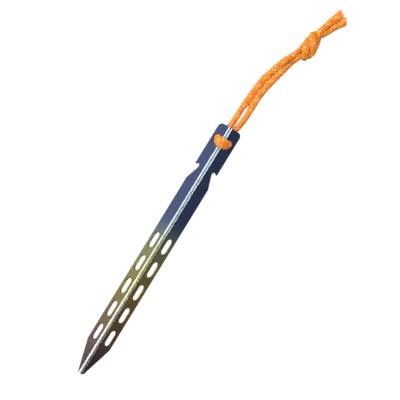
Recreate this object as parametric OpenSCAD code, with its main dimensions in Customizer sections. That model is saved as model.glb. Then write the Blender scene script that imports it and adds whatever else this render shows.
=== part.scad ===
// Folded-sheet tent stake with a braided pull loop.
//
// The stake lies ridge up along Y: its tip is at -Y and its head at +Y. The two flange
// edges rest on z = 0, and the origin is the middle of the blade's underside. The pull
// loop leaves the blade through two holes near the head, and its legs run side by side
// to an overhand knot, past which the two cut ends stand out as short tails.

/* [Blade] */
// Length of the blade from tip to head end
blade_l = 165; // [150:1:180]
// Width across the edges of the two flanges
blade_w = 14.6; // [14:0.1:16]
// Thickness of the sheet
sheet_t = 1.0; // [0.8:0.1:1.2]
// Outside radius of the fold along the ridge
fold_r = 2.0; // [1.6:0.1:2.4]

/* [Point] */
// Length of the tapered point
point_l = 19.5; // [16:0.5:24]
// Width across the taper at the very tip
tip_w = 3.5; // [3.2:0.1:4]
// Radius that rounds the tip, seen from above
tip_r = 1.2; // [0.8:0.1:1.4]

/* [Lightening slots] */
// Number of slots in each flange
slot_count = 5; // [3:1:5]
// Distance from the tip to the middle of the first slot
slot_first = 25.8; // [25:0.1:28]
// Distance from slot to slot
slot_pitch = 15.4; // [14:0.1:16]
// Length of a slot over its round ends
slot_l = 10.0; // [8:0.1:11]
// Width of a slot, measured on the flange
slot_w = 4.3; // [3.5:0.1:4.6]
// Distance from the ridge line to the slots' centre line, down the flange
slot_down = 6.2; // [5.8:0.1:6.6]

/* [Guyline notch] */
// Distance from the tip to the start of the ramp into the notch
notch_ramp = 127.8; // [124:0.1:130]
// Distance from the tip to the centre of the notch's round seat
notch_seat = 136.6; // [135:0.1:138]
// Radius of the seat
notch_r = 1.6; // [1.2:0.1:1.8]
// Distance from the ridge line to the seat's centre, down the flange
notch_down = 7.96; // [7.6:0.02:8.4]
// Distance from the tip to the point of the hook above the notch
hook_tip = 137.4; // [136.8:0.1:138.2]

/* [Head] */
// Radius of the head's two corners
head_r = 3.0; // [2:0.1:4]
// Distance from the head end to the middle of the cord holes
hole_back = 8.7; // [7:0.1:12]
// Distance from the ridge line to the middle of a cord hole, down the flange
hole_down = 6.1; // [5.6:0.1:6.6]
// Diameter of the cord holes
hole_d = 4.4; // [4:0.1:5]

/* [Cord] */
// Diameter of the braided cord
cord_d = 3.4; // [2.8:0.1:3.5]
// Diameter of the bare core where the sheath has frayed back
core_d = 2.4; // [1.6:0.1:2.6]

/* [Knot] */
// Length of the knot along its own axis
knot_l = 17.0; // [15:0.5:19]
// Diameter of the knot at its middle
knot_d = 10.2; // [9:0.1:12]
// Diameter of the knot at its two ends
knot_end_d = 6.0; // [4:0.5:7]
// Turn of the knot's axis from the stake's axis, towards -X
knot_turn = 4; // [-10:1:20]

/* [Hidden] */
$fn = 64;

// The sheet is folded to a right angle, so each flange slopes at 45 degrees.
slope = 45;
run = cos(slope);
apex_z = blade_w / 2 + sheet_t * run;
flange_w = blade_w / 2 / run;
fold_z = apex_z - fold_r / run;
fold_steps = 18;
tip_y = -blade_l / 2;
head_y = blade_l / 2;
past = 1;

hole_y = head_y - hole_back;
cord_r = cord_d / 2;

// The cord leaves each hole's inner mouth against the flange, and the loop swings
// about the line through the two points where it does.
pivot_x = (hole_down - sheet_t - cord_r) * run;
pivot_z = apex_z - (hole_down + sheet_t + cord_r) * run;

// Routes of the cord's centre line, from the inner mouth of each hole to the knot,
// and from the knot to each cut end.
left_leg_route = [
  [-pivot_x, hole_y, pivot_z], [-1.9, 78, 1.75], [-1.35, 82.3, 1.75], [-0.85, 86, 1.75],
  [-0.78, 90, 1.75], [-0.75, 94, 1.75], [-0.65, 98, 1.75], [-0.4, 102, 1.75], [-0.02, 107, 1.75],
  [0.4, 112, 1.75], [1, 116.1, 1.8], [2.25, 120.7, 2.1], [3.65, 125.3, 2.6], [5.2, 129.9, 3.4],
  [6.2, 132.2, 4.2], [7.2, 134.5, 4.8], [8.5, 136.8, 5.5], [10, 139.2, 5.8]
];
right_leg_route = [
  [pivot_x, hole_y, pivot_z], [2.4, 78, 1.75], [2.42, 82.9, 1.75], [2.6, 85.4, 1.75],
  [3.15, 88.2, 1.75], [3.7, 91.2, 1.75], [4, 95, 1.75], [4, 101, 1.75], [4.1, 106, 1.75],
  [4.6, 110.5, 1.75], [5.3, 114.8, 1.75], [6.4, 119.5, 1.8], [7.4, 124, 2], [8.6, 129, 2.35],
  [9.4, 132.2, 2.5], [10.15, 134.5, 2.8], [11.1, 136.8, 3.1], [12.2, 139.2, 3.4]
];
left_tail_route = [
  [13.4, 151.5, 6.2], [14.05, 155, 5.5], [15.2, 159, 4.2], [16.8, 164, 2.8], [18.7, 168.5, 1.95],
  [19.9, 171.8, 1.75]
];
right_tail_route = [
  [15.3, 151.5, 3.1], [16.5, 155, 2.9], [18.5, 159, 2.4], [20.9, 164, 1.9], [22.7, 167, 1.75],
  [23.9, 169.6, 1.75]
];
left_core_route = [
  [19.6, 171, 1.85], [20.7, 173.6, 1.75]
];
right_core_route = [
  [23.5, 168.7, 1.75], [24.4, 170.5, 1.75]
];
knot_at = [14.1, 146, 5.1];

function unit(v) = v / norm(v);

// Direction of a route at its point i.
function heading(route, i) =
  unit(route[min(i + 1, len(route) - 1)] - route[max(i - 1, 0)]);

// Where a tangent from the point p touches the circle about c, on one side of it.
function touch(p, c, r, side) =
  let (out = p - c, turn = atan2(out.y, out.x) + side * acos(r / norm(out)))
  c + r * [cos(turn), sin(turn)];

// A tube swept along a route. across[i] and up[i] are its half widths at point i:
// up is measured towards ref, and across at right angles to it.
module tube(route, across, up, ref, sides) {
  rings = len(route);
  points = [
    for (i = [0 : rings - 1])
      let (t = heading(route, i), s = unit(cross(t, ref)), u = cross(s, t))
      for (k = [0 : sides - 1])
        let (a = 360 * (k + 0.5) / sides)
        route[i] + across[i] * cos(a) * s + up[i] * sin(a) * u
  ];
  walls = [
    for (i = [0 : rings - 2])
      for (k = [0 : sides - 1])
        let (a = i * sides + k, b = i * sides + (k + 1) % sides)
        for (f = [[a, b, b + sides], [a, b + sides, a + sides]])
        f
  ];
  first_end = [for (k = [sides - 1 : -1 : 0]) k];
  last_end = [for (k = [0 : sides - 1]) (rings - 1) * sides + k];
  polyhedron(points, concat(walls, [first_end], [last_end]));
}

// A round cord along a route, with its first end domed when domed is true.
module cord(route, r, domed = false) {
  dome = domed ? [70, 35] : [];
  back = heading([route[0], route[1]], 0);
  path = concat([for (a = dome) route[0] - r * sin(a) * back], route);
  radii = concat([for (a = dome) r * cos(a)], [for (p = route) r]);
  tube(path, radii, radii, [0, 0, 1], 8);
}

// Points round the fold at radius r, from one flange to the other.
function fold_arc(r, from, to) =
  [for (k = [0 : fold_steps]) let (a = from + (to - from) * k / fold_steps)
    [r * cos(a), fold_z + r * sin(a)]];

// The folded sheet's cross-section: a round fold between two flat flanges.
module sheet_section() {
  edge_x = blade_w / 2 - sheet_t * run;
  edge_z = apex_z - blade_w / 2;
  polygon(concat(
    [[edge_x, 0], [blade_w / 2, edge_z]],
    fold_arc(fold_r, slope, 180 - slope),
    [[-blade_w / 2, edge_z], [-edge_x, 0]],
    fold_arc(fold_r - sheet_t, 180 - slope, slope)
  ));
}

// Cuts its children square through one flange. They are drawn with X down the flange
// from the ridge line and Y along the blade.
module through_flange(side) {
  mirror([side < 0 ? 1 : 0, 0, 0])
    translate([0, 0, apex_z])
      rotate([0, slope, 0])
        translate([0, 0, -sheet_t - past])
          linear_extrude(sheet_t + 2 * past)
            children();
}

module slot_outline() {
  square([slot_w, slot_l - slot_w], center = true);
  for (end = [-1, 1])
    translate([0, end * (slot_l - slot_w) / 2]) circle(d = slot_w);
}

module point_outline() {
  from = [tip_w / 2 / run, tip_y];
  to = [flange_w, tip_y + point_l];
  beyond = (to - from) * 0.1;
  polygon([from - beyond, to + beyond, [flange_w + past, to.y + beyond.y],
           [flange_w + past, from.y - beyond.y]]);
}

module notch_outline() {
  seat = [notch_down, tip_y + notch_seat];
  ramp = [flange_w, tip_y + notch_ramp];
  hook = [flange_w, tip_y + hook_tip];
  translate(seat) circle(notch_r);
  polygon([ramp, [flange_w + past, ramp.y], [flange_w + past, hook.y], hook,
           touch(hook, seat, notch_r, 1), seat, touch(ramp, seat, notch_r, -1)]);
}

module head_corner_outline() {
  centre = [flange_w - head_r, head_y - head_r];
  difference() {
    translate(centre) square(head_r + past);
    translate(centre) circle(head_r);
  }
}

// One corner of the rounded tip, seen from above.
module tip_corner_outline() {
  spread = (blade_w - tip_w) / 2 / point_l;
  lean = atan(spread);
  touch_x = tip_w / 2 + spread * tip_r * (1 - sin(lean));
  centre = [touch_x - tip_r * cos(lean), tip_y + tip_r];
  touch_y = centre.y - tip_r * sin(lean);
  difference() {
    polygon([centre, [touch_x, touch_y], [touch_x + past, touch_y],
             [touch_x + past, tip_y - past], [centre.x, tip_y - past]]);
    translate(centre) circle(tip_r);
  }
}

module stake_blade() {
  color([0.22, 0.29, 0.42])
    difference() {
      rotate([90, 0, 0]) linear_extrude(blade_l, center = true) sheet_section();
      for (side = [-1, 1]) {
        through_flange(side) point_outline();
        through_flange(side) notch_outline();
        through_flange(side) head_corner_outline();
        for (i = [0 : slot_count - 1])
          through_flange(side)
            translate([slot_down, tip_y + slot_first + i * slot_pitch]) slot_outline();
        through_flange(side)
          translate([hole_down, hole_y]) circle(d = hole_d);
        mirror([side < 0 ? 1 : 0, 0, 0])
          linear_extrude(apex_z) tip_corner_outline();
      }
    }
}

// The stretch of cord between the two holes, pressed flat where it crosses the ridge.
module cord_bridge() {
  half = [
    [3.68, 3.08], [4.15, 3.75], [4.35, 4.6], [4.1, 5.45], [3.4, 6.25], [2.35, 7.25],
    [1.2, 8.05], [0, 8.3]
  ];
  thick = [1.65, 1.6, 1.35, 1.15, 1.1, 1.05, 1, 1];
  wide = [1.65, 1.7, 1.9, 2.2, 2.6, 2.9, 3.1, 3.15];
  slack = [0, 0, -0.1, -0.3, -0.7, -1.1, -1.3, -1.35];
  last = len(half) - 1;
  order = concat([for (i = [0 : last]) [-1, i]], [for (i = [last - 1 : -1 : 0]) [1, i]]);
  color("darkorange")
    tube([for (o = order) [o[0] * half[o[1]].x, hole_y + slack[o[1]], half[o[1]].y]],
         [for (o = order) thick[o[1]]], [for (o = order) wide[o[1]]], [0, 1, 0], 12);
}

module left_leg() {
  color("orange") cord(left_leg_route, cord_r, domed = true);
}

module right_leg() {
  color("orange") cord(right_leg_route, cord_r, domed = true);
}

// The overhand knot's outer shape: a barrel with flat ends, where the cords go in.
module knot() {
  sag = (knot_d - knot_end_d) / 2;
  barrel_r = (pow(knot_l / 2, 2) + pow(sag, 2)) / (2 * sag);
  color("darkorange")
    translate(knot_at)
      rotate([-90, 0, knot_turn])
        rotate_extrude()
          intersection() {
            translate([knot_d / 2 - barrel_r, 0]) circle(barrel_r, $fn = 180);
            translate([0, -knot_l / 2]) square([knot_d / 2, knot_l]);
          }
}

module left_tail() {
  color("orange") cord(left_tail_route, cord_r);
}

module right_tail() {
  color("orange") cord(right_tail_route, cord_r);
}

// Core yarns that stand out of the sheath where each tail was cut.
module left_core_end() {
  color("mistyrose") cord(left_core_route, core_d / 2);
}

module right_core_end() {
  color("mistyrose") cord(right_core_route, core_d / 2);
}

stake_blade();
cord_bridge();
left_leg();
right_leg();
knot();
left_tail();
right_tail();
left_core_end();
right_core_end();
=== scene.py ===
"""One folded-titanium tent stake with its braided pull loop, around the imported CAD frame."""
import math

import bmesh
import bpy
import numpy as np
from mathutils import Matrix, Vector


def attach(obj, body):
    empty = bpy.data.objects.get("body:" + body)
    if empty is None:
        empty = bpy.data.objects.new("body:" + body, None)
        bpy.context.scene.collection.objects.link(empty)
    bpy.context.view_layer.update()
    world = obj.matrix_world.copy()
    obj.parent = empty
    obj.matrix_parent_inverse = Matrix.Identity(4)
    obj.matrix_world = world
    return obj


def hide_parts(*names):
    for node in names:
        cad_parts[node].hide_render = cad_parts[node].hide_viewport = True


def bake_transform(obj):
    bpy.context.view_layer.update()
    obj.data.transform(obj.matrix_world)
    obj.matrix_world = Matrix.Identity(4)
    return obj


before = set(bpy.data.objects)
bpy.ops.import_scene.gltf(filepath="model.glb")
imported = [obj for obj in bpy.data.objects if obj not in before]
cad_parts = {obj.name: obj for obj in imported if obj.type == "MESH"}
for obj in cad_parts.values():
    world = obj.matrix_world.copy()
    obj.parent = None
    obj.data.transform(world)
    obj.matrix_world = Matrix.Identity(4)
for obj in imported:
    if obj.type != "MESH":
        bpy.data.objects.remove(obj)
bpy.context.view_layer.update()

MM = 0.001


# ---------------------------------------------------------------- camera
LEAN = math.radians(1.5)       # the camera leans about the blade, towards +X
ACROSS = Vector((math.cos(LEAN), 0, -math.sin(LEAN)))
ALONG = Vector((0, 1, 0))
BACK = Vector((math.sin(LEAN), 0, math.cos(LEAN)))
TURN = math.radians(31.56)     # the blade's turn from upright in the picture
DISTANCE = 1.6
FRAME_WIDTH = 0.2296          # how much the camera sees across, at the blade
AIM = Vector((6.35, 38.05, 3.5)) * MM

right = ALONG * math.sin(TURN) + ACROSS * math.cos(TURN)
up = ALONG * math.cos(TURN) - ACROSS * math.sin(TURN)
camera_data = bpy.data.cameras.new("camera")
camera_data.sensor_width = 36
camera_data.lens = 36 * DISTANCE / FRAME_WIDTH
camera = bpy.data.objects.new("camera", camera_data)
turn = Matrix((right, up, BACK)).transposed().to_4x4()
camera.matrix_world = Matrix.Translation(AIM + BACK * DISTANCE) @ turn
bpy.context.scene.collection.objects.link(camera)
bpy.context.scene.camera = camera


# ---------------------------------------------------------------- cord routes, mm
CORD_D = 3.4
CORD_R = CORD_D / 2
PIVOT_X, HOLE_Y, PIVOT_Z = 2.404163, 73.8, 1.784567
LEFT_LEG = [
    (-PIVOT_X, HOLE_Y, PIVOT_Z), (-1.9, 78, 1.75), (-1.35, 82.3, 1.75), (-0.85, 86, 1.75),
    (-0.78, 90, 1.75), (-0.75, 94, 1.75), (-0.65, 98, 1.75), (-0.4, 102, 1.75),
    (-0.02, 107, 1.75), (0.4, 112, 1.75), (1, 116.1, 1.8), (2.25, 120.7, 2.1),
    (3.65, 125.3, 2.6), (5.2, 129.9, 3.4), (6.2, 132.2, 4.2), (7.2, 134.5, 4.8),
    (8.5, 136.8, 5.5), (10, 139.2, 5.8),
]
RIGHT_LEG = [
    (PIVOT_X, HOLE_Y, PIVOT_Z), (2.4, 78, 1.75), (2.45, 82.4, 1.75), (3, 84.6, 1.75),
    (3.5, 87.5, 1.75), (3.85, 91, 1.75), (4.02, 95, 1.75), (4, 101, 1.75), (4.1, 106, 1.75),
    (4.6, 110.5, 1.75), (5.3, 114.8, 1.75), (6.4, 119.5, 1.8), (7.4, 124, 2), (8.6, 129, 2.35),
    (9.4, 132.2, 2.5), (10.15, 134.5, 2.8), (11.1, 136.8, 3.1), (12.2, 139.2, 3.4),
]
LEFT_TAIL = [
    (13.4, 151.5, 6.2), (14.05, 155, 5.5), (15.2, 159, 4.2), (16.8, 164, 2.8),
    (18.7, 168.5, 1.95), (19.9, 171.8, 1.75),
]
RIGHT_TAIL = [
    (15.3, 151.5, 3.1), (16.5, 155, 2.9), (18.5, 159, 2.4), (20.9, 164, 1.9), (22.85, 167, 1.75),
    (24.15, 169.6, 1.75),
]
KNOT_AT = np.array([14.1, 146.0, 5.1])
KNOT_TOP = 8.7               # height of the highest centre
KNOT_REACH = 8.5             # the knot's outline ends this far above and below its middle


def unit(v):
    return v / np.linalg.norm(v)


def lengths(p):
    return np.r_[0, np.cumsum(np.linalg.norm(np.diff(p, axis=0), axis=1))]


def resample(p, n):
    s = lengths(p)
    t = np.linspace(0, s[-1], n)
    return np.stack([np.interp(t, s, p[:, k]) for k in range(3)], 1)


def spline(points, n):
    """A Catmull-Rom curve through the points, at n even steps."""
    p = np.asarray(points, float)
    q = np.concatenate([[2 * p[0] - p[1]], p, [2 * p[-1] - p[-2]]])
    out = []
    t = np.linspace(0, 1, 24, endpoint=False)[:, None]
    for i in range(len(p) - 1):
        a, b, c, d = q[i:i + 4]
        out.append(0.5 * (2 * b + (c - a) * t + (2 * a - 5 * b + 4 * c - d) * t**2
                          + (3 * b - a - 3 * c + d) * t**3))
    out.append(p[-1:])
    return resample(np.concatenate(out), n)


def smooth_path(p, rounds):
    p = p.copy()
    for _ in range(rounds):
        p[1:-1] += 0.5 * ((p[:-2] + p[2:]) / 2 - p[1:-1])
    return p


# ---------------------------------------------------------------- knot
KNOT_TOUCH = 2.75            # how near two centres may come where the cord is packed tight
KNOT_STEPS = 110             # points on each strand through the knot
KNOT_ITERS = 500
KNOT_MEMORY = 0.2            # how strongly a strand keeps to the way it was laid
KNOT_BEND = 0.06             # how strongly it straightens
KNOT_BOND = 1.9              # how far apart the two strands may drift, in touches
KNOT_FLOOR = 1.62            # height of the lowest centre
HELD = 3                     # points at each end that stay where they are
LEG_END, TAIL_START = 3, 2   # points of a leg and a tail that the way through replaces


def hold_outline(P):
    """Eases the strands into the knot's outline, which is widest low down and narrow at the
    collar, and keeps them off the ground."""
    x, y = P[..., 0] - KNOT_AT[0], P[..., 1] - KNOT_AT[1]
    right_edge = np.minimum(3.4 - 0.2 * np.maximum(y + 2.3, 0), 0.75 + 0.6 * (y + 6.9))
    left_edge = 3.55 - 0.2 * np.maximum(y + 3, 0) + 0.57 * np.maximum(-y - 4.6, 0)
    inside = abs(y) < KNOT_REACH
    P[..., 0] -= 0.5 * np.where(inside, np.maximum(x - right_edge, 0), 0)
    P[..., 0] += 0.5 * np.where(inside, np.maximum(-left_edge - x, 0), 0)
    P[..., 2] -= 0.5 * np.where(inside, np.maximum(P[..., 2] - KNOT_TOP, 0), 0)
    P[..., 2] = np.maximum(P[..., 2], KNOT_FLOOR)


def settle(P):
    """Eases two strands apart. Each keeps its length, and no two stretches come closer than
    KNOT_TOUCH."""
    P = P.copy()
    n = P.shape[1]
    strand = np.repeat([0, 1], n)
    place = np.tile(np.arange(n), 2)
    I, J = np.triu_indices(2 * n, 1)
    fixed = P.copy()
    seg = np.linalg.norm(np.diff(P, axis=1), axis=2).mean(1)[:, None, None]
    for it in range(KNOT_ITERS):
        if it % 30 == 0:
            gap = abs(place[I] - place[J]) * seg.mean()
            near = (strand[I] == strand[J]) & (gap < 1.4 * KNOT_TOUCH)
            a, b = I[~near], J[~near]
            Q = P.reshape(-1, 3)
            c = np.linalg.norm(Q[a] - Q[b], axis=1) < 2 * KNOT_TOUCH
            a, b = a[c], b[c]
        P[:, 1:-1] += KNOT_BEND * ((P[:, :-2] + P[:, 2:]) / 2 - P[:, 1:-1])
        P += KNOT_MEMORY * (fixed - P)
        for _ in range(5):
            # every other segment, then the ones between them
            for first in (0, 1):
                p, q = P[:, first:-1:2], P[:, first + 1::2]
                m = min(p.shape[1], q.shape[1])
                dv = q[:, :m] - p[:, :m]
                length = np.linalg.norm(dv, axis=2, keepdims=True)
                corr = dv * (1 - seg / length) * 0.5
                P[:, first:first + 2 * m:2] += corr
                P[:, first + 1:first + 1 + 2 * m:2] -= corr
            dv = P[1] - P[0]
            length = np.linalg.norm(dv, axis=1)
            pull = dv * (np.maximum(length - KNOT_BOND * KNOT_TOUCH, 0) / length * 0.25)[:, None]
            P[0] += pull
            P[1] -= pull
            Q = P.reshape(-1, 3)
            dv = Q[b] - Q[a]
            length = np.linalg.norm(dv, axis=1)
            h = length < KNOT_TOUCH
            push = dv[h] / length[h, None] * ((KNOT_TOUCH - length[h]) * 0.3)[:, None]
            np.add.at(Q, b[h], push)
            np.add.at(Q, a[h], -push)
            hold_outline(P)
            P[:, :HELD] = fixed[:, :HELD]
            P[:, -HELD:] = fixed[:, -HELD:]
    return P


# Each strand's way through the overhand: up through the middle, behind the tails at the top,
# down across the front, behind the legs at the bottom and out between the turns.
THROUGH = (
    [(7.6, 135, 4.8), (9.3, 138.2, 5.4), (10.9, 141, 5.2), (12.6, 144, 4.9), (14.0, 146.6, 4.1),
     (14.6, 149.0, 2.6), (13.6, 150.6, 1.7), (12.0, 150.6, 2.2), (11.1, 149.8, 4.2),
     (10.9, 148.2, 6.6), (11.2, 145.9, 8.2), (12.1, 143.6, 8.6), (13.4, 141.6, 8.1),
     (14.6, 140.2, 6.4), (15.0, 139.7, 4.2), (14.3, 139.8, 2.2), (12.7, 140.7, 1.65),
     (11.2, 142.6, 1.7), (11.0, 144.8, 2.4), (11.7, 147.0, 4.0), (12.9, 149.2, 5.2),
     (13.5, 151.8, 5.7), (14.0, 155.0, 5.4)],
    [(10.6, 135, 3.8), (12.2, 138.2, 4.6), (14.1, 141.3, 4.9), (15.8, 144.2, 4.6),
     (16.6, 147, 3.6), (16.4, 149.6, 2.4), (15.2, 151.9, 1.8), (13.7, 153.1, 1.8),
     (12.8, 153.3, 3.4), (12.5, 152.6, 5.6), (12.9, 151.1, 7.7), (14.1, 149.2, 8.7),
     (15.6, 147.0, 8.5), (17.0, 145.0, 7.3), (17.7, 143.7, 5.2), (17.4, 142.9, 3.0),
     (15.6, 142.9, 1.7), (14.2, 143.8, 1.65), (13.3, 145.8, 1.8), (13.4, 148.0, 3.6),
     (15.0, 150.0, 5.0), (15.9, 152.6, 4.6), (16.7, 155.6, 3.8)],
)
def knot_strands():
    """The two cords' points, from the holes through the knot to the cut ends."""
    strands, legs, tails = [], [], []
    for mid, leg, tail in zip(THROUGH, (LEFT_LEG, RIGHT_LEG), (LEFT_TAIL, RIGHT_TAIL)):
        leg = np.array(leg[:-LEG_END], float)
        tail = np.array(tail[TAIL_START:], float)
        p = spline(np.concatenate([leg[-2:], mid, tail[:2]]), 600)
        middle = len(p) // 2
        near_leg = np.argmin(np.linalg.norm(p[:middle] - leg[-1], axis=1))
        near_tail = middle + np.argmin(np.linalg.norm(p[middle:] - tail[0], axis=1))
        p = resample(p[near_leg:near_tail + 1], KNOT_STEPS)
        step = lengths(p)[-1] / (KNOT_STEPS - 1)
        for k in (1, 2):
            p[k] = leg[-1] + unit(leg[-1] - leg[-2]) * step * k
            p[-1 - k] = tail[0] - unit(tail[1] - tail[0]) * step * k
        strands.append(p)
        legs.append(leg)
        tails.append(tail)
    return [np.concatenate([leg[:-1], p[::3], p[-1:], tail[1:]])
            for leg, p, tail in zip(legs, settle(np.array(strands)), tails)]


# ---------------------------------------------------------------- braid
CARRIERS = 16         # yarns each way round the cord
CELL = 0.86           # length along the cord of one crossing
RING = 0.15           # spacing of the mesh's rings
SIDES = 96


def braid_height(a, b):
    """Height of the braid's surface over its mean, mm, at yarn coordinates a and b."""
    ia, ib = np.floor(a), np.floor(b)
    fa, fb = a - ia, b - ib
    def yarn(across, phase):
        crown = np.sqrt(np.maximum(0, 1 - (1.9 * across - 0.95)**2))
        return 0.12 * crown + 0.075 * np.cos(math.pi / 2 * phase)
    ha = yarn(fa, ia + b - 1)
    hb = yarn(fb, ib + a - 3)
    return np.maximum(ha, hb) - 0.08


def frames(path, first_side):
    T = np.gradient(path, axis=0)
    T /= np.linalg.norm(T, axis=1)[:, None]
    s = unit(first_side - T[0] * np.dot(first_side, T[0]))
    sides = [s]
    for i in range(1, len(path)):
        # double reflection keeps the frame from twisting
        v1 = path[i] - path[i - 1]
        c1 = np.dot(v1, v1)
        rl = sides[-1] - (2 / c1) * np.dot(v1, sides[-1]) * v1
        tl = T[i - 1] - (2 / c1) * np.dot(v1, T[i - 1]) * v1
        v2 = T[i] - tl
        c2 = np.dot(v2, v2)
        r = rl if c2 < 1e-12 else rl - (2 / c2) * np.dot(v2, rl) * v2
        sides.append(unit(r))
    sides = np.array(sides)
    return T, sides, np.cross(T, sides)


def tube_points(path, across, lift, T, S, U, offset=0.0):
    """Vertices of a braided tube, and their yarn coordinates."""
    s = lengths(path) / CELL + offset
    k = np.arange(SIDES)
    u = k / SIDES
    ang = 2 * math.pi * u
    a = CARRIERS * u[None] + s[:, None]
    b = CARRIERS * u[None] - s[:, None]
    h = braid_height(a, b)
    c, si = np.cos(ang)[None], np.sin(ang)[None]
    ex, ey = across[:, None], lift[:, None]
    nx, ny = c / ex, si / ey
    nl = np.sqrt(nx * nx + ny * ny)
    px = ex * c + h * nx / nl
    py = ey * si + h * ny / nl
    pts = path[:, None] + px[..., None] * S[:, None] + py[..., None] * U[:, None]
    return pts, s


def ease(t):
    """A smooth rise from 0 to 1 as t rises, one value to a ring."""
    return (t * t * (3 - 2 * t))[:, None]


def spread(pts, path, T, t, share, thin):
    """Widens a tube sideways and thins it from above, as far as t says. Gives each vertex's new
    offset from the path, and how far to the side it was."""
    side = np.cross(T, np.array([0, 0, 1.0]))
    side /= np.linalg.norm(side, axis=1)[:, None]
    off = pts - path[:, None]
    across = (off * side[:, None]).sum(2)
    off = off + (across * t * share(across))[..., None] * side[:, None]
    off[..., 2] *= 1 - thin * t
    return off, across


def cut_end(pts, path, T, slant, flare, length):
    """Spreads the last stretch of a tail and cuts its end on a ragged slant, longest on its left."""
    left = lengths(path)[-1] - lengths(path)
    t = ease(np.clip(1 - left / length, 0, 1))
    off, across = spread(pts, path, T, t, lambda across: flare, 0.12)
    near = np.clip(1 - left / 3.2, 0, 1)[:, None]
    cut = across * slant + 0.12 * np.sin(2.7 * across + 1)
    off = off - (cut * near)[..., None] * T[:, None]
    return path[:, None] + off


def lean_together(pts, path, T, inner):
    """Flattens a leg against the other over the stretch where the two lie side by side."""
    y = path[:, 1]
    before_knot = np.arange(len(path)) < np.argmax(y > 137)
    t = ease(np.clip((y - 96) / 4, 0, 1) * np.clip((136 - y) / 6, 0, 1) * before_knot)
    off, _ = spread(pts, path, T, t, lambda across: np.where(across * inner > 0, 0.36, 0.04), 0.1)
    return path[:, None] + off


def flatten_band(pts, path, T, inner):
    """Spreads the strand sideways where it crosses the front of the knot."""
    y, z = path[:, 1], path[:, 2]
    t = ease(np.clip((z - 5.6) / 2.2, 0, 1) * np.clip((154.5 - y) / 2, 0, 1)
             * np.clip((y - 138) / 2, 0, 1))
    outer = 0.05 if inner > 0 else 0.25
    off, _ = spread(pts, path, T, t, lambda across: np.where(across * inner < 0, 0.5, outer), 0.12)
    return path[:, None] + off


def tube_mesh(name, pts, s):
    """A closed mesh from rings of points, with yarn coordinates as its UV map."""
    rings, sides = pts.shape[:2]
    ends = np.array([pts[0].mean(0), pts[-1].mean(0)]) * MM
    verts = np.concatenate([(pts * MM).reshape(-1, 3), ends])
    first_end, last_end = rings * sides, rings * sides + 1

    def yarns(k, at):
        u = CARRIERS * k / sides
        return (u + at, u - at)

    faces, uvs = [], []
    for i in range(rings - 1):
        for k in range(sides):
            k2 = (k + 1) % sides
            faces.append((i * sides + k, i * sides + k2, (i + 1) * sides + k2, (i + 1) * sides + k))
            uvs += [yarns(k, s[i]), yarns(k + 1, s[i]), yarns(k + 1, s[i + 1]), yarns(k, s[i + 1])]
    last = (rings - 1) * sides
    for k in range(sides):
        k2 = (k + 1) % sides
        faces.append((k2, k, first_end))
        uvs += [yarns(k + 1, s[0]), yarns(k, s[0]), yarns(k, s[0])]
        faces.append((last + k, last + k2, last_end))
        uvs += [yarns(k, s[-1]), yarns(k + 1, s[-1]), yarns(k, s[-1])]
    mesh = bpy.data.meshes.new(name)
    mesh.from_pydata(verts.tolist(), [], faces)
    layer = mesh.uv_layers.new(name="yarns")
    layer.data.foreach_set("uv", np.asarray(uvs, np.float32).ravel())
    mesh.polygons.foreach_set("use_smooth", [True] * len(mesh.polygons))
    obj = bpy.data.objects.new(name, mesh)
    bpy.context.scene.collection.objects.link(obj)
    return obj


def press_together(tubes, paths, gap=0.02):
    """Flattens the strands where they bear on one another."""
    everywhere = np.concatenate(paths)
    which = np.concatenate([np.full(len(p), i) for i, p in enumerate(paths)])
    along = np.concatenate([lengths(p) for p in paths])
    for i, (pts, path) in enumerate(zip(tubes, paths)):
        s = lengths(path)
        for r in range(len(path)):
            c = path[r]
            d = np.linalg.norm(everywhere - c, axis=1)
            same_stretch = (which == i) & (abs(along - s[r]) < 1.45 * CORD_D)
            other = (d < CORD_D * 1.08) & ~same_stretch
            if not other.any():
                continue
            n = (everywhere[other] - c) / d[other][:, None]
            reach = d[other] / 2 - gap
            for _ in range(3):
                over = pts[r] @ n.T - (c @ n.T)[None] - reach[None]
                j = over.argmax(1)
                deep = np.maximum(over[np.arange(len(j)), j], 0)
                pts[r] -= n[j] * deep[:, None]


def ring_count(path):
    return int(lengths(path)[-1] / RING) + 1


LEFT_SLANT, RIGHT_SLANT = 0.5, 0.75      # how steeply each end is cut
GROUND = 0.02                            # the lowest that the cord's surface may lie
# each strand's name and slant, which side faces the other leg, and its end's flare and stretch
STRANDS = (("left_cord", LEFT_SLANT, 1, 0.5, 13.0), ("right_cord", RIGHT_SLANT, -1, 0.26, 9.0))

cord_paths, tubes, turns = [], [], []
for control, (_, slant, inner, flare, stretch) in zip(knot_strands(), STRANDS):
    dense = smooth_path(spline(control, 1200), 30)
    path = resample(dense, ring_count(dense))
    T, S, U = frames(path, np.array([1.0, 0, 0]))
    r = np.full(len(path), CORD_R)
    pts, s = tube_points(path, r, r, T, S, U)
    pts = cut_end(pts, path, T, slant, flare, stretch)
    pts = lean_together(pts, path, T, inner)
    cord_paths.append(path)
    tubes.append(flatten_band(pts, path, T, inner))
    turns.append(s)
press_together(tubes, cord_paths)
for pts in tubes:
    pts[..., 2] = np.maximum(pts[..., 2], GROUND)
cords = [tube_mesh(strand[0], pts, s) for strand, pts, s in zip(STRANDS, tubes, turns)]


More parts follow.
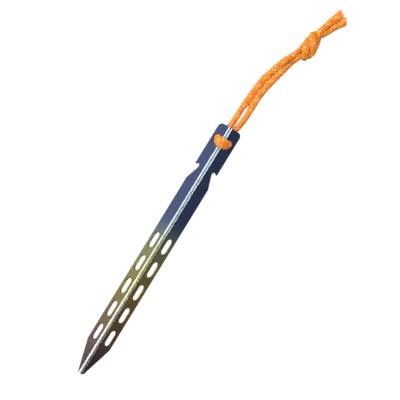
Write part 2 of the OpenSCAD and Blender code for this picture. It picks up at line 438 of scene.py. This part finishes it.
# ---------------------------------------------------------------- core yarns
def core_yarns(name, path, slant, reach, seed):
    """The bundle of core yarns that shows at a cut end, fanned out a little."""
    rng = np.random.default_rng(seed)
    end, ahead = path[-1], unit(path[-1] - path[-8])
    side = unit(np.cross(ahead, np.array([0, 0, 1.0])))
    top = np.cross(side, ahead)
    spots = [(0, 0)]
    for ring, count in ((0.52, 6), (1.02, 11)):
        angles = [2 * math.pi * k / count + ring for k in range(count)]
        spots += [(ring * math.cos(a), ring * math.sin(a)) for a in angles]
    rings, sides = 11, 10
    verts, faces = [], []
    for x, z in spots:
        x, z = x * 1.15, z * 0.95
        radius = rng.uniform(0.25, 0.31)
        out = reach - x * slant + rng.uniform(-0.35, 0.35)
        fan = rng.uniform(0.05, 0.3)
        bend = rng.uniform(-0.25, 0.25, 2)
        base = len(verts)
        for i in range(rings):
            t = i / (rings - 1)
            along = -2.2 + (out + 2.2) * min(1.0, t * 1.06)
            grow = max(0.0, along + 0.3)
            cx = x * (1 + fan * grow) + bend[0] * grow**2 * 0.3
            cz = z * (1 + fan * grow) + bend[1] * grow**2 * 0.3
            size = radius * (1, 0.82, 0.45)[max(0, i - rings + 3)]
            for k in range(sides):
                a = 2 * math.pi * k / sides
                size_k = size * (1 + 0.14 * math.sin(3 * a + 5 * along))
                p = (end + ahead * along + side * (cx + size_k * math.cos(a))
                     + top * (cz + size_k * math.sin(a)))
                verts.append((p[0] * MM, p[1] * MM, max(p[2], 0.05) * MM))
        for i in range(rings - 1):
            for k in range(sides):
                k2 = (k + 1) % sides
                faces.append((base + i * sides + k, base + i * sides + k2,
                              base + (i + 1) * sides + k2, base + (i + 1) * sides + k))
        faces.append(tuple(base + k for k in reversed(range(sides))))
        faces.append(tuple(base + (rings - 1) * sides + k for k in range(sides)))
    mesh = bpy.data.meshes.new(name)
    mesh.from_pydata(verts, [], faces)
    mesh.polygons.foreach_set("use_smooth", [True] * len(mesh.polygons))
    obj = bpy.data.objects.new(name, mesh)
    bpy.context.scene.collection.objects.link(obj)
    return obj


cores = [core_yarns("left_core_yarns", cord_paths[0], LEFT_SLANT, 1.5, 5),
         core_yarns("right_core_yarns", cord_paths[1], RIGHT_SLANT, 0.5, 3)]


# ---------------------------------------------------------------- bridge
# from a hole's mouth up to the ridge: x, z, half thickness, half width, set back from the hole
BRIDGE = [
    (3.68, 3.08, 1.65, 1.65, 0), (4.05, 3.75, 1.5, 1.7, 0), (4.12, 4.6, 1.2, 1.9, -0.1),
    (3.88, 5.45, 1.1, 2.2, -0.3), (3.25, 6.25, 1.1, 2.6, -0.7), (2.35, 7.25, 1.05, 2.9, -1.1),
    (1.2, 8.05, 1, 3.1, -1.3), (0, 8.3, 1, 3.15, -1.35),
]


def bridge_piece():
    """The cord's stretch over the ridge, mirrored about it."""
    right_half = np.array(BRIDGE)
    left_half = right_half * (-1, 1, 1, 1, 1)
    x, z, thick, wide, back = np.concatenate([left_half, right_half[-2::-1]]).T
    line = np.stack([x, HOLE_Y + back, z], 1)
    s_line = lengths(line) / lengths(line)[-1]
    dense = spline(line, 400)
    path = resample(smooth_path(dense, 10), ring_count(dense))
    s_path = np.linspace(0, 1, len(path))
    T = np.gradient(path, axis=0)
    T /= np.linalg.norm(T, axis=1)[:, None]
    S = np.cross(T, np.array([0, 1.0, 0]))
    S /= np.linalg.norm(S, axis=1)[:, None]
    pts, s = tube_points(path, np.interp(s_path, s_line, thick), np.interp(s_path, s_line, wide),
                         T, S, np.cross(S, T), offset=0.3)
    return tube_mesh("bridge_cord", pts, s)


bridge = bridge_piece()


# ---------------------------------------------------------------- blade
EDGE_ROUND = 0.16 * MM       # width of the rounding along the sheet's edges
WELD = 2e-6                  # vertices nearer than this, in metres, are one
SAME_FACE = 0.80             # faces whose normals agree this well are shaded as one surface
FLAT_AREA = 2e-5             # a face larger than this, in square metres, is a flat one


def blade_piece():
    """The CAD blade with its edges rounded and its flat faces shaded flat."""
    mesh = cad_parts["stake_blade"].data.copy()
    obj = bpy.data.objects.new("blade_sheet", mesh)
    bpy.context.scene.collection.objects.link(obj)
    bm = bmesh.new()
    bm.from_mesh(mesh)
    bmesh.ops.remove_doubles(bm, verts=bm.verts, dist=WELD)
    bmesh.ops.dissolve_limit(bm, angle_limit=math.radians(0.5), verts=bm.verts, edges=bm.edges)
    bm.to_mesh(mesh)
    bm.free()
    bevel = obj.modifiers.new("rounded_edges", "BEVEL")
    bevel.width = EDGE_ROUND
    bevel.segments = 3
    bevel.limit_method = "ANGLE"
    bevel.angle_limit = math.radians(30)
    bevel.use_clamp_overlap = True
    bpy.context.view_layer.update()
    done = bpy.data.meshes.new_from_object(
        obj.evaluated_get(bpy.context.evaluated_depsgraph_get()))
    obj.modifiers.clear()
    obj.data = done
    done.polygons.foreach_set("use_smooth", [True] * len(done.polygons))
    # large flat faces keep their own normal, and the small curved ones between them blend
    normals = [p.normal.copy() for p in done.polygons]
    areas = [p.area for p in done.polygons]
    at_vertex = [[] for _ in done.vertices]
    for p in done.polygons:
        for v in p.vertices:
            at_vertex[v].append(p.index)
    corner = []
    for p in done.polygons:
        n = normals[p.index]
        for v in p.vertices:
            total = Vector((0, 0, 0))
            for q in at_vertex[v]:
                if normals[q].dot(n) > SAME_FACE:
                    total += normals[q] * areas[q]**1.5
            corner.append(n if areas[p.index] > FLAT_AREA else total.normalized())
    done.normals_split_custom_set(corner)
    return obj


blade = blade_piece()


# ---------------------------------------------------------------- materials
class Tree:
    """A material, with short names for the nodes that it is built from."""
    def __init__(self, name):
        self.mat = bpy.data.materials.new(name)
        self.mat.use_nodes = True
        self.nodes = self.mat.node_tree.nodes
        self.links = self.mat.node_tree.links
        self.nodes.clear()
        self.out = self.nodes.new("ShaderNodeOutputMaterial")
        self.bsdf = self.nodes.new("ShaderNodeBsdfPrincipled")
        self.links.new(self.bsdf.outputs[0], self.out.inputs[0])

    def set(self, **values):
        for k, v in values.items():
            self.bsdf.inputs[k.replace("_", " ")].default_value = v

    def put(self, socket, value):
        if isinstance(value, bpy.types.NodeSocket):
            self.links.new(value, socket)
        else:
            socket.default_value = value

    def math(self, op, *args, clamp=False):
        n = self.nodes.new("ShaderNodeMath")
        n.operation = op
        n.use_clamp = clamp
        for i, v in enumerate(args):
            self.put(n.inputs[i], v)
        return n.outputs[0]

    def ramp(self, fac, stops):
        n = self.nodes.new("ShaderNodeValToRGB")
        els = n.color_ramp.elements
        while len(els) < len(stops):
            els.new(0.5)
        for e, (p, c) in zip(els, stops):
            e.position = p
            e.color = (*c, 1)
        self.put(n.inputs[0], fac)
        return n.outputs[0]

    def mix(self, fac, a, b, mode="MIX"):
        n = self.nodes.new("ShaderNodeMix")
        n.data_type = "RGBA"
        n.blend_type = mode
        self.put(n.inputs[0], fac)
        self.put(n.inputs[6], a if not isinstance(a, tuple) else (*a, 1))
        self.put(n.inputs[7], b if not isinstance(b, tuple) else (*b, 1))
        return n.outputs[2]

    def noise(self, vector, scale, detail, rough):
        n = self.nodes.new("ShaderNodeTexNoise")
        n.inputs["Scale"].default_value = scale
        n.inputs["Detail"].default_value = detail
        n.inputs["Roughness"].default_value = rough
        self.links.new(vector, n.inputs["Vector"])
        return n.outputs[0]

    def coords(self):
        return self.nodes.new("ShaderNodeTexCoord").outputs["Object"]

    def scaled(self, vector, xyz):
        n = self.nodes.new("ShaderNodeMapping")
        n.inputs["Scale"].default_value = xyz
        self.links.new(vector, n.inputs["Vector"])
        return n.outputs[0]

    def split(self, vector):
        n = self.nodes.new("ShaderNodeSeparateXYZ")
        self.links.new(vector, n.inputs[0])
        return n.outputs

    def bump(self, height, distance, strength):
        n = self.nodes.new("ShaderNodeBump")
        n.inputs["Distance"].default_value = distance
        n.inputs["Strength"].default_value = strength
        self.links.new(height, n.inputs["Height"])
        self.links.new(n.outputs[0], self.bsdf.inputs["Normal"])


def sheath_material():
    t = Tree("braided_sheath")
    uv = t.nodes.new("ShaderNodeUVMap")
    uv.uv_map = "yarns"
    x = t.split(uv.outputs[0])
    a, b = x[0], x[1]
    ia, ib = t.math("FLOOR", a), t.math("FLOOR", b)
    fa, fb = t.math("SUBTRACT", a, ia), t.math("SUBTRACT", b, ib)
    phase = t.math("FLOORED_MODULO", t.math("ADD", ia, ib), 4.0)
    a_top = t.math("LESS_THAN", phase, 1.5)
    ya = t.math("FLOORED_MODULO", ia, 16.0)
    yb = t.math("ADD", t.math("FLOORED_MODULO", ib, 16.0), 16.0)

    def pick(p, q):
        return t.math("ADD", t.math("MULTIPLY", a_top, p),
                      t.math("MULTIPLY", t.math("SUBTRACT", 1.0, a_top), q))
    yarn = pick(ya, yb)
    across = pick(fa, fb)
    along = pick(b, a)
    hue = t.nodes.new("ShaderNodeTexWhiteNoise")
    hue.noise_dimensions = "1D"
    t.links.new(yarn, hue.inputs["W"])
    patch = t.noise(t.coords(), 260.0, 3.0, 0.6)
    tone = t.math("ADD", t.math("MULTIPLY", hue.outputs[0], 0.45), t.math("MULTIPLY", patch, 0.7))
    orange = t.ramp(tone, [(0.15, (0.50, 0.095, 0.003)), (0.5, (0.63, 0.19, 0.006)),
                           (0.9, (0.76, 0.31, 0.018))])
    edge = t.math("ABSOLUTE", t.math("SUBTRACT", t.math("MULTIPLY", across, 2.0), 1.0))
    # painted shade: the colour darkens to a deep red-brown towards each yarn's edges, in the grooves
    # between yarns
    groove_shade = t.math("SMOOTH_MIN", 1.0, t.math("MULTIPLY", t.math("SUBTRACT", 1.0, edge), 3.2), 0.2)
    orange = t.mix(t.math("MULTIPLY", t.math("SUBTRACT", 1.0, groove_shade), 0.8, clamp=True), orange,
                   (0.38, 0.045, 0.002))
    # painted highlight: every eighth yarn is painted pale down the middle of its crown
    every_eighth_yarn = t.math("LESS_THAN", t.math("FLOORED_MODULO", yarn, 8.0), 0.5)
    crown_highlight_strip = t.math("MULTIPLY", every_eighth_yarn, t.math("LESS_THAN", edge, 0.5))
    colour = t.mix(t.math("MULTIPLY", crown_highlight_strip, 0.7), orange, (0.95, 0.66, 0.26))
    t.links.new(colour, t.bsdf.inputs["Base Color"])
    lines = t.math("SINE", t.math("MULTIPLY", across, 2 * math.pi * 6))
    fine = t.noise(t.coords(), 2600.0, 2.0, 0.6)
    height = t.math("ADD", t.math("MULTIPLY", lines, 0.5), fine)
    t.bump(height, 0.00003, 0.5)
    t.set(Subsurface_Weight=0.5, Subsurface_Radius=(1.0, 0.2, 0.05), Subsurface_Scale=0.0013,
          Roughness=0.6, Specular_IOR_Level=0.18, Sheen_Weight=0.03, Sheen_Roughness=0.4,
          Sheen_Tint=(1.0, 0.7, 0.35, 1))
    return t.mat


def core_material():
    t = Tree("core_yarn")
    co = t.coords()
    shade = t.noise(co, 900.0, 2.0, 0.5)
    t.links.new(t.ramp(shade, [(0.3, (0.80, 0.58, 0.50)), (0.7, (0.93, 0.84, 0.80))]),
                t.bsdf.inputs["Base Color"])
    fibres = t.noise(t.scaled(co, (5200, 900, 5200)), 1.0, 3.0, 0.7)
    t.bump(fibres, 0.00003, 0.6)
    t.set(Roughness=0.7, Specular_IOR_Level=0.3, Sheen_Weight=0.1, Sheen_Roughness=0.5)
    return t.mat


BLADE_LENGTH = 0.165          # the heat colours run along it


def titanium_material():
    t = Tree("heat_coloured_titanium")
    co = t.coords()
    x = t.split(co)
    wobble = t.noise(t.scaled(co, (60, 25, 60)), 1.0, 2.0, 0.5)
    y = t.math("ADD", x[1], t.math("MULTIPLY", t.math("SUBTRACT", wobble, 0.5), 0.006))
    f = t.math("DIVIDE", t.math("ADD", y, BLADE_LENGTH / 2), BLADE_LENGTH, clamp=True)
    base = t.ramp(f, [
        (0.00, (0.045, 0.035, 0.04)), (0.07, (0.12, 0.055, 0.05)), (0.12, (0.33, 0.165, 0.115)),
        (0.20, (0.44, 0.25, 0.05)), (0.29, (0.62, 0.43, 0.05)), (0.38, (0.66, 0.56, 0.07)),
        (0.48, (0.62, 0.64, 0.22)), (0.55, (0.36, 0.46, 0.38)), (0.59, (0.13, 0.28, 0.44)),
        (0.63, (0.03, 0.13, 0.42)), (0.70, (0.02, 0.11, 0.42)), (1.0, (0.006, 0.07, 0.36)),
    ])
    mottle = t.noise(co, 1100.0, 3.0, 0.65)
    base = t.mix(1.0, base, t.ramp(mottle, [(0.3, (0.72, 0.72, 0.72)), (0.7, (1.18, 1.18, 1.18))]),
                 "MULTIPLY")
    # the fold's crest is painted a neutral grey, a painted highlight that keeps the lamps' lines
    # along the fold pale instead of tinted
    from_crest = t.math("ADD", t.math("ABSOLUTE", x[0]),
                        t.math("MULTIPLY", t.math("SUBTRACT", mottle, 0.5), 0.0006))
    crest = t.math("SMOOTH_MIN", 1.0, t.math("MULTIPLY", t.math("SUBTRACT", 0.00165, from_crest),
                                            2200.0), 0.3, clamp=True)
    # painted highlight: the neutral grey given to the fold's crest, darker towards the head
    crest_highlight_tone = t.ramp(f, [
        (0.00, (0.21, 0.20, 0.205)), (0.30, (0.20, 0.185, 0.15)), (0.42, (0.18, 0.165, 0.10)),
        (0.52, (0.155, 0.15, 0.09)), (0.58, (0.17, 0.18, 0.155)), (0.63, (0.155, 0.18, 0.195)),
        (1.00, (0.155, 0.18, 0.195)),
    ])
    base = t.mix(t.math("MULTIPLY", crest, 0.94), base, crest_highlight_tone)
    t.links.new(base, t.bsdf.inputs["Base Color"])
    streak = t.noise(t.scaled(co, (2200, 90, 2200)), 1.0, 3.0, 0.6)
    blotch = t.noise(co, 90.0, 3.0, 0.6)
    polish = t.math("ADD", 0.09, t.math("MULTIPLY", crest, 0.10))
    wear = t.math("ADD", t.math("MULTIPLY", streak, 0.12), t.math("MULTIPLY", blotch, 0.08))
    t.links.new(t.math("ADD", polish, wear), t.bsdf.inputs["Roughness"])
    grain = t.noise(co, 4200.0, 3.0, 0.6)
    height = t.math("ADD", t.math("MULTIPLY", streak, 0.6), t.math("MULTIPLY", grain, 0.6))
    t.bump(height, 0.000012, 0.35)
    # the oxide layer is worn off the crest
    # no coat on the same crest strip
    t.links.new(t.math("MULTIPLY", t.math("SUBTRACT", 1.0, crest, clamp=True), 0.3),
                t.bsdf.inputs["Coat Weight"])
    t.set(Metallic=1.0, Coat_IOR=2.1, Coat_Roughness=0.5)
    return t.mat


sheath = sheath_material()
titanium = titanium_material()
core_yarn = core_material()
for o in (*cords, bridge):
    o.data.materials.append(sheath)
for o in cores:
    o.data.materials.append(core_yarn)
blade.data.materials.clear()
blade.data.materials.append(titanium)


# ---------------------------------------------------------------- stage and light
bpy.ops.mesh.primitive_plane_add(size=6, location=(0, 0.05, -0.00002))
floor = bpy.context.object
floor.name = "floor"
floor_tree = Tree("pale_floor")
floor_tree.set(Base_Color=(0.12, 0.12, 0.12, 1), Roughness=0.9, Specular_IOR_Level=0.0,
               Emission_Color=(1, 1, 1, 1), Emission_Strength=0.97)
floor.data.materials.append(floor_tree.mat)
floor.visible_glossy = False

world = bpy.data.worlds.new("studio")
bpy.context.scene.world = world
world.use_nodes = True
wn, wl = world.node_tree.nodes, world.node_tree.links
wn.clear()
w_out = wn.new("ShaderNodeOutputWorld")
w_bg = wn.new("ShaderNodeBackground")
w_co = wn.new("ShaderNodeTexCoord")
w_split = wn.new("ShaderNodeSeparateXYZ")
w_map = wn.new("ShaderNodeMapRange")
w_ramp = wn.new("ShaderNodeValToRGB")
wl.new(w_co.outputs["Generated"], w_split.inputs[0])
wl.new(w_split.outputs[0], w_map.inputs[0])
w_map.inputs[1].default_value = -1
w_map.inputs[2].default_value = 1
wl.new(w_map.outputs[0], w_ramp.inputs[0])
els = w_ramp.color_ramp.elements
els[0].position, els[0].color = 0.0, (0.26, 0.26, 0.28, 1)
els[1].position, els[1].color = 1.0, (0.12, 0.12, 0.125, 1)
for at, level in ((0.15, 0.20), (0.45, 0.11), (0.66, 0.015), (0.90, 0.035)):
    e = els.new(at)
    e.color = (level, level, level * 1.04, 1)
wl.new(w_ramp.outputs[0], w_bg.inputs[0])
wl.new(w_bg.outputs[0], w_out.inputs[0])


def area(name, at, size, power, target=(0, 0.04, 0)):
    light = bpy.data.lights.new(name, "AREA")
    light.shape = "RECTANGLE"
    light.size, light.size_y = size
    light.energy = power
    obj = bpy.data.objects.new(name, light)
    bpy.context.scene.collection.objects.link(obj)
    z = (Vector(at) - Vector(target)).normalized()
    yv = Vector((0, 1, 0))
    xv = yv.cross(z).normalized()
    yv = z.cross(xv)
    obj.matrix_world = Matrix.Translation(at) @ Matrix((xv, yv, z)).transposed().to_4x4()
    obj.visible_camera = False
    return obj


area("key_left", (-0.80, 0.04, 0.50), (0.30, 1.6), 24.0).visible_diffuse = False
area("key_soft", (-0.80, 0.04, 0.60), (0.50, 1.6), 14.0).visible_glossy = False
for name, at, size, power in (("head_left", (-0.30, 0.36, 0.88), (0.22, 0.66), 0.9),
                              ("tip_left", (-0.40, -0.27, 0.84), (0.16, 0.34), 1.9),
                              ("mid_left", (-0.16, -0.05, 0.93), (0.36, 0.15), 0.9),
                              ("head_right", (0.52, 0.38, 0.74), (0.30, 0.60), 15.0)):
    area(name, at, size, power, target=(0, 0.24, 0)).visible_diffuse = False
area("overhead", (0.0, 0.05, 1.3), (1.2, 1.2), 14.0).visible_glossy = False
area("end_fill", (0.5, 0.9, 0.7), (0.8, 0.8), 6.5).visible_glossy = False
bpy.context.scene.view_settings.view_transform = "Standard"
bpy.context.scene.view_settings.look = "None"


# ---------------------------------------------------------------- the frame's calls
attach(blade, "blade")
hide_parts("stake_blade")
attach(bridge, "blade")
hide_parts("cord_bridge")
for core, node in zip(cores, ("left_core_end", "right_core_end")):
    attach(core, "cord_loop")
    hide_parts(node)
for obj, path, nodes, core in zip(cords, cord_paths,
                                  (("left_leg", "knot", "left_tail"), ("right_leg", "right_tail")),
                                  cores):
    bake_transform(obj)
    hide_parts(*nodes)
